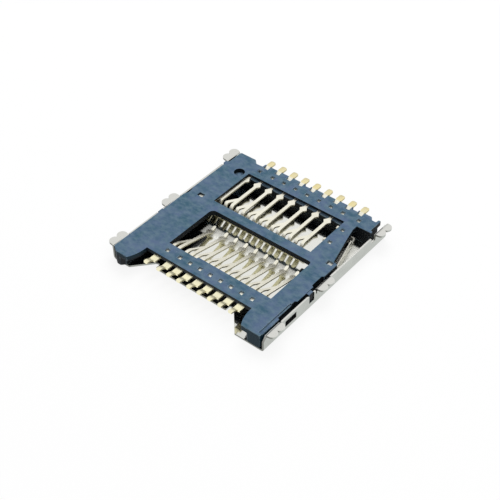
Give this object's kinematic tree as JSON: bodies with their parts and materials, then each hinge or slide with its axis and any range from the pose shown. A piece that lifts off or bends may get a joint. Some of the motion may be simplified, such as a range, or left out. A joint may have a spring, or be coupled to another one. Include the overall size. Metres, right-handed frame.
{
  "type": "memory card connector",
  "caption": "Surface-mount connector for a small flash memory card: windowed moulded housing, rows of spring contacts and a folded metal shell with soldering tabs.",
  "frame": {"origin": "bottom centre of the bounding box, on the outer face of the metal shell that the connector lies on", "axes": "+Y is the way the card goes in, from the ears and the front row of tails to the rear row of tails; +Z points away from the shell to the circuit board's side, and its top is the plane of the solder tails; +X is to the right of someone who looks along +Y, on the side of the open corner with the detect spring"},
  "size_m": [0.0152, 0.015, 0.0014],
  "materials": {
    "housing_plastic": "moulded, matte, dark slate blue",
    "shell_steel": "bright rolled sheet, stamped and folded",
    "contact_alloy": "pale gold plating over stamped copper alloy",
    "spring_steel": "bright spring strip"
  },
  "bodies": {
    "root": {"housing": "housing_plastic", "shell": "shell_steel", "contact_front_1": "contact_alloy", "contact_front_2": "contact_alloy", "contact_front_3": "contact_alloy", "contact_front_4": "contact_alloy", "contact_front_5": "contact_alloy", "contact_front_6": "contact_alloy", "contact_front_7": "contact_alloy", "contact_front_8": "contact_alloy", "contact_front_9": "contact_alloy", "contact_rear_1": "contact_alloy", "contact_rear_2": "contact_alloy", "contact_rear_3": "contact_alloy", "contact_rear_4": "contact_alloy", "contact_rear_5": "contact_alloy", "contact_rear_6": "contact_alloy", "contact_rear_7": "contact_alloy", "contact_rear_8": "contact_alloy", "detect_contact": "contact_alloy", "detect_spring": "spring_steel", "card_spring": "spring_steel"}
  },
  "joints": []
}
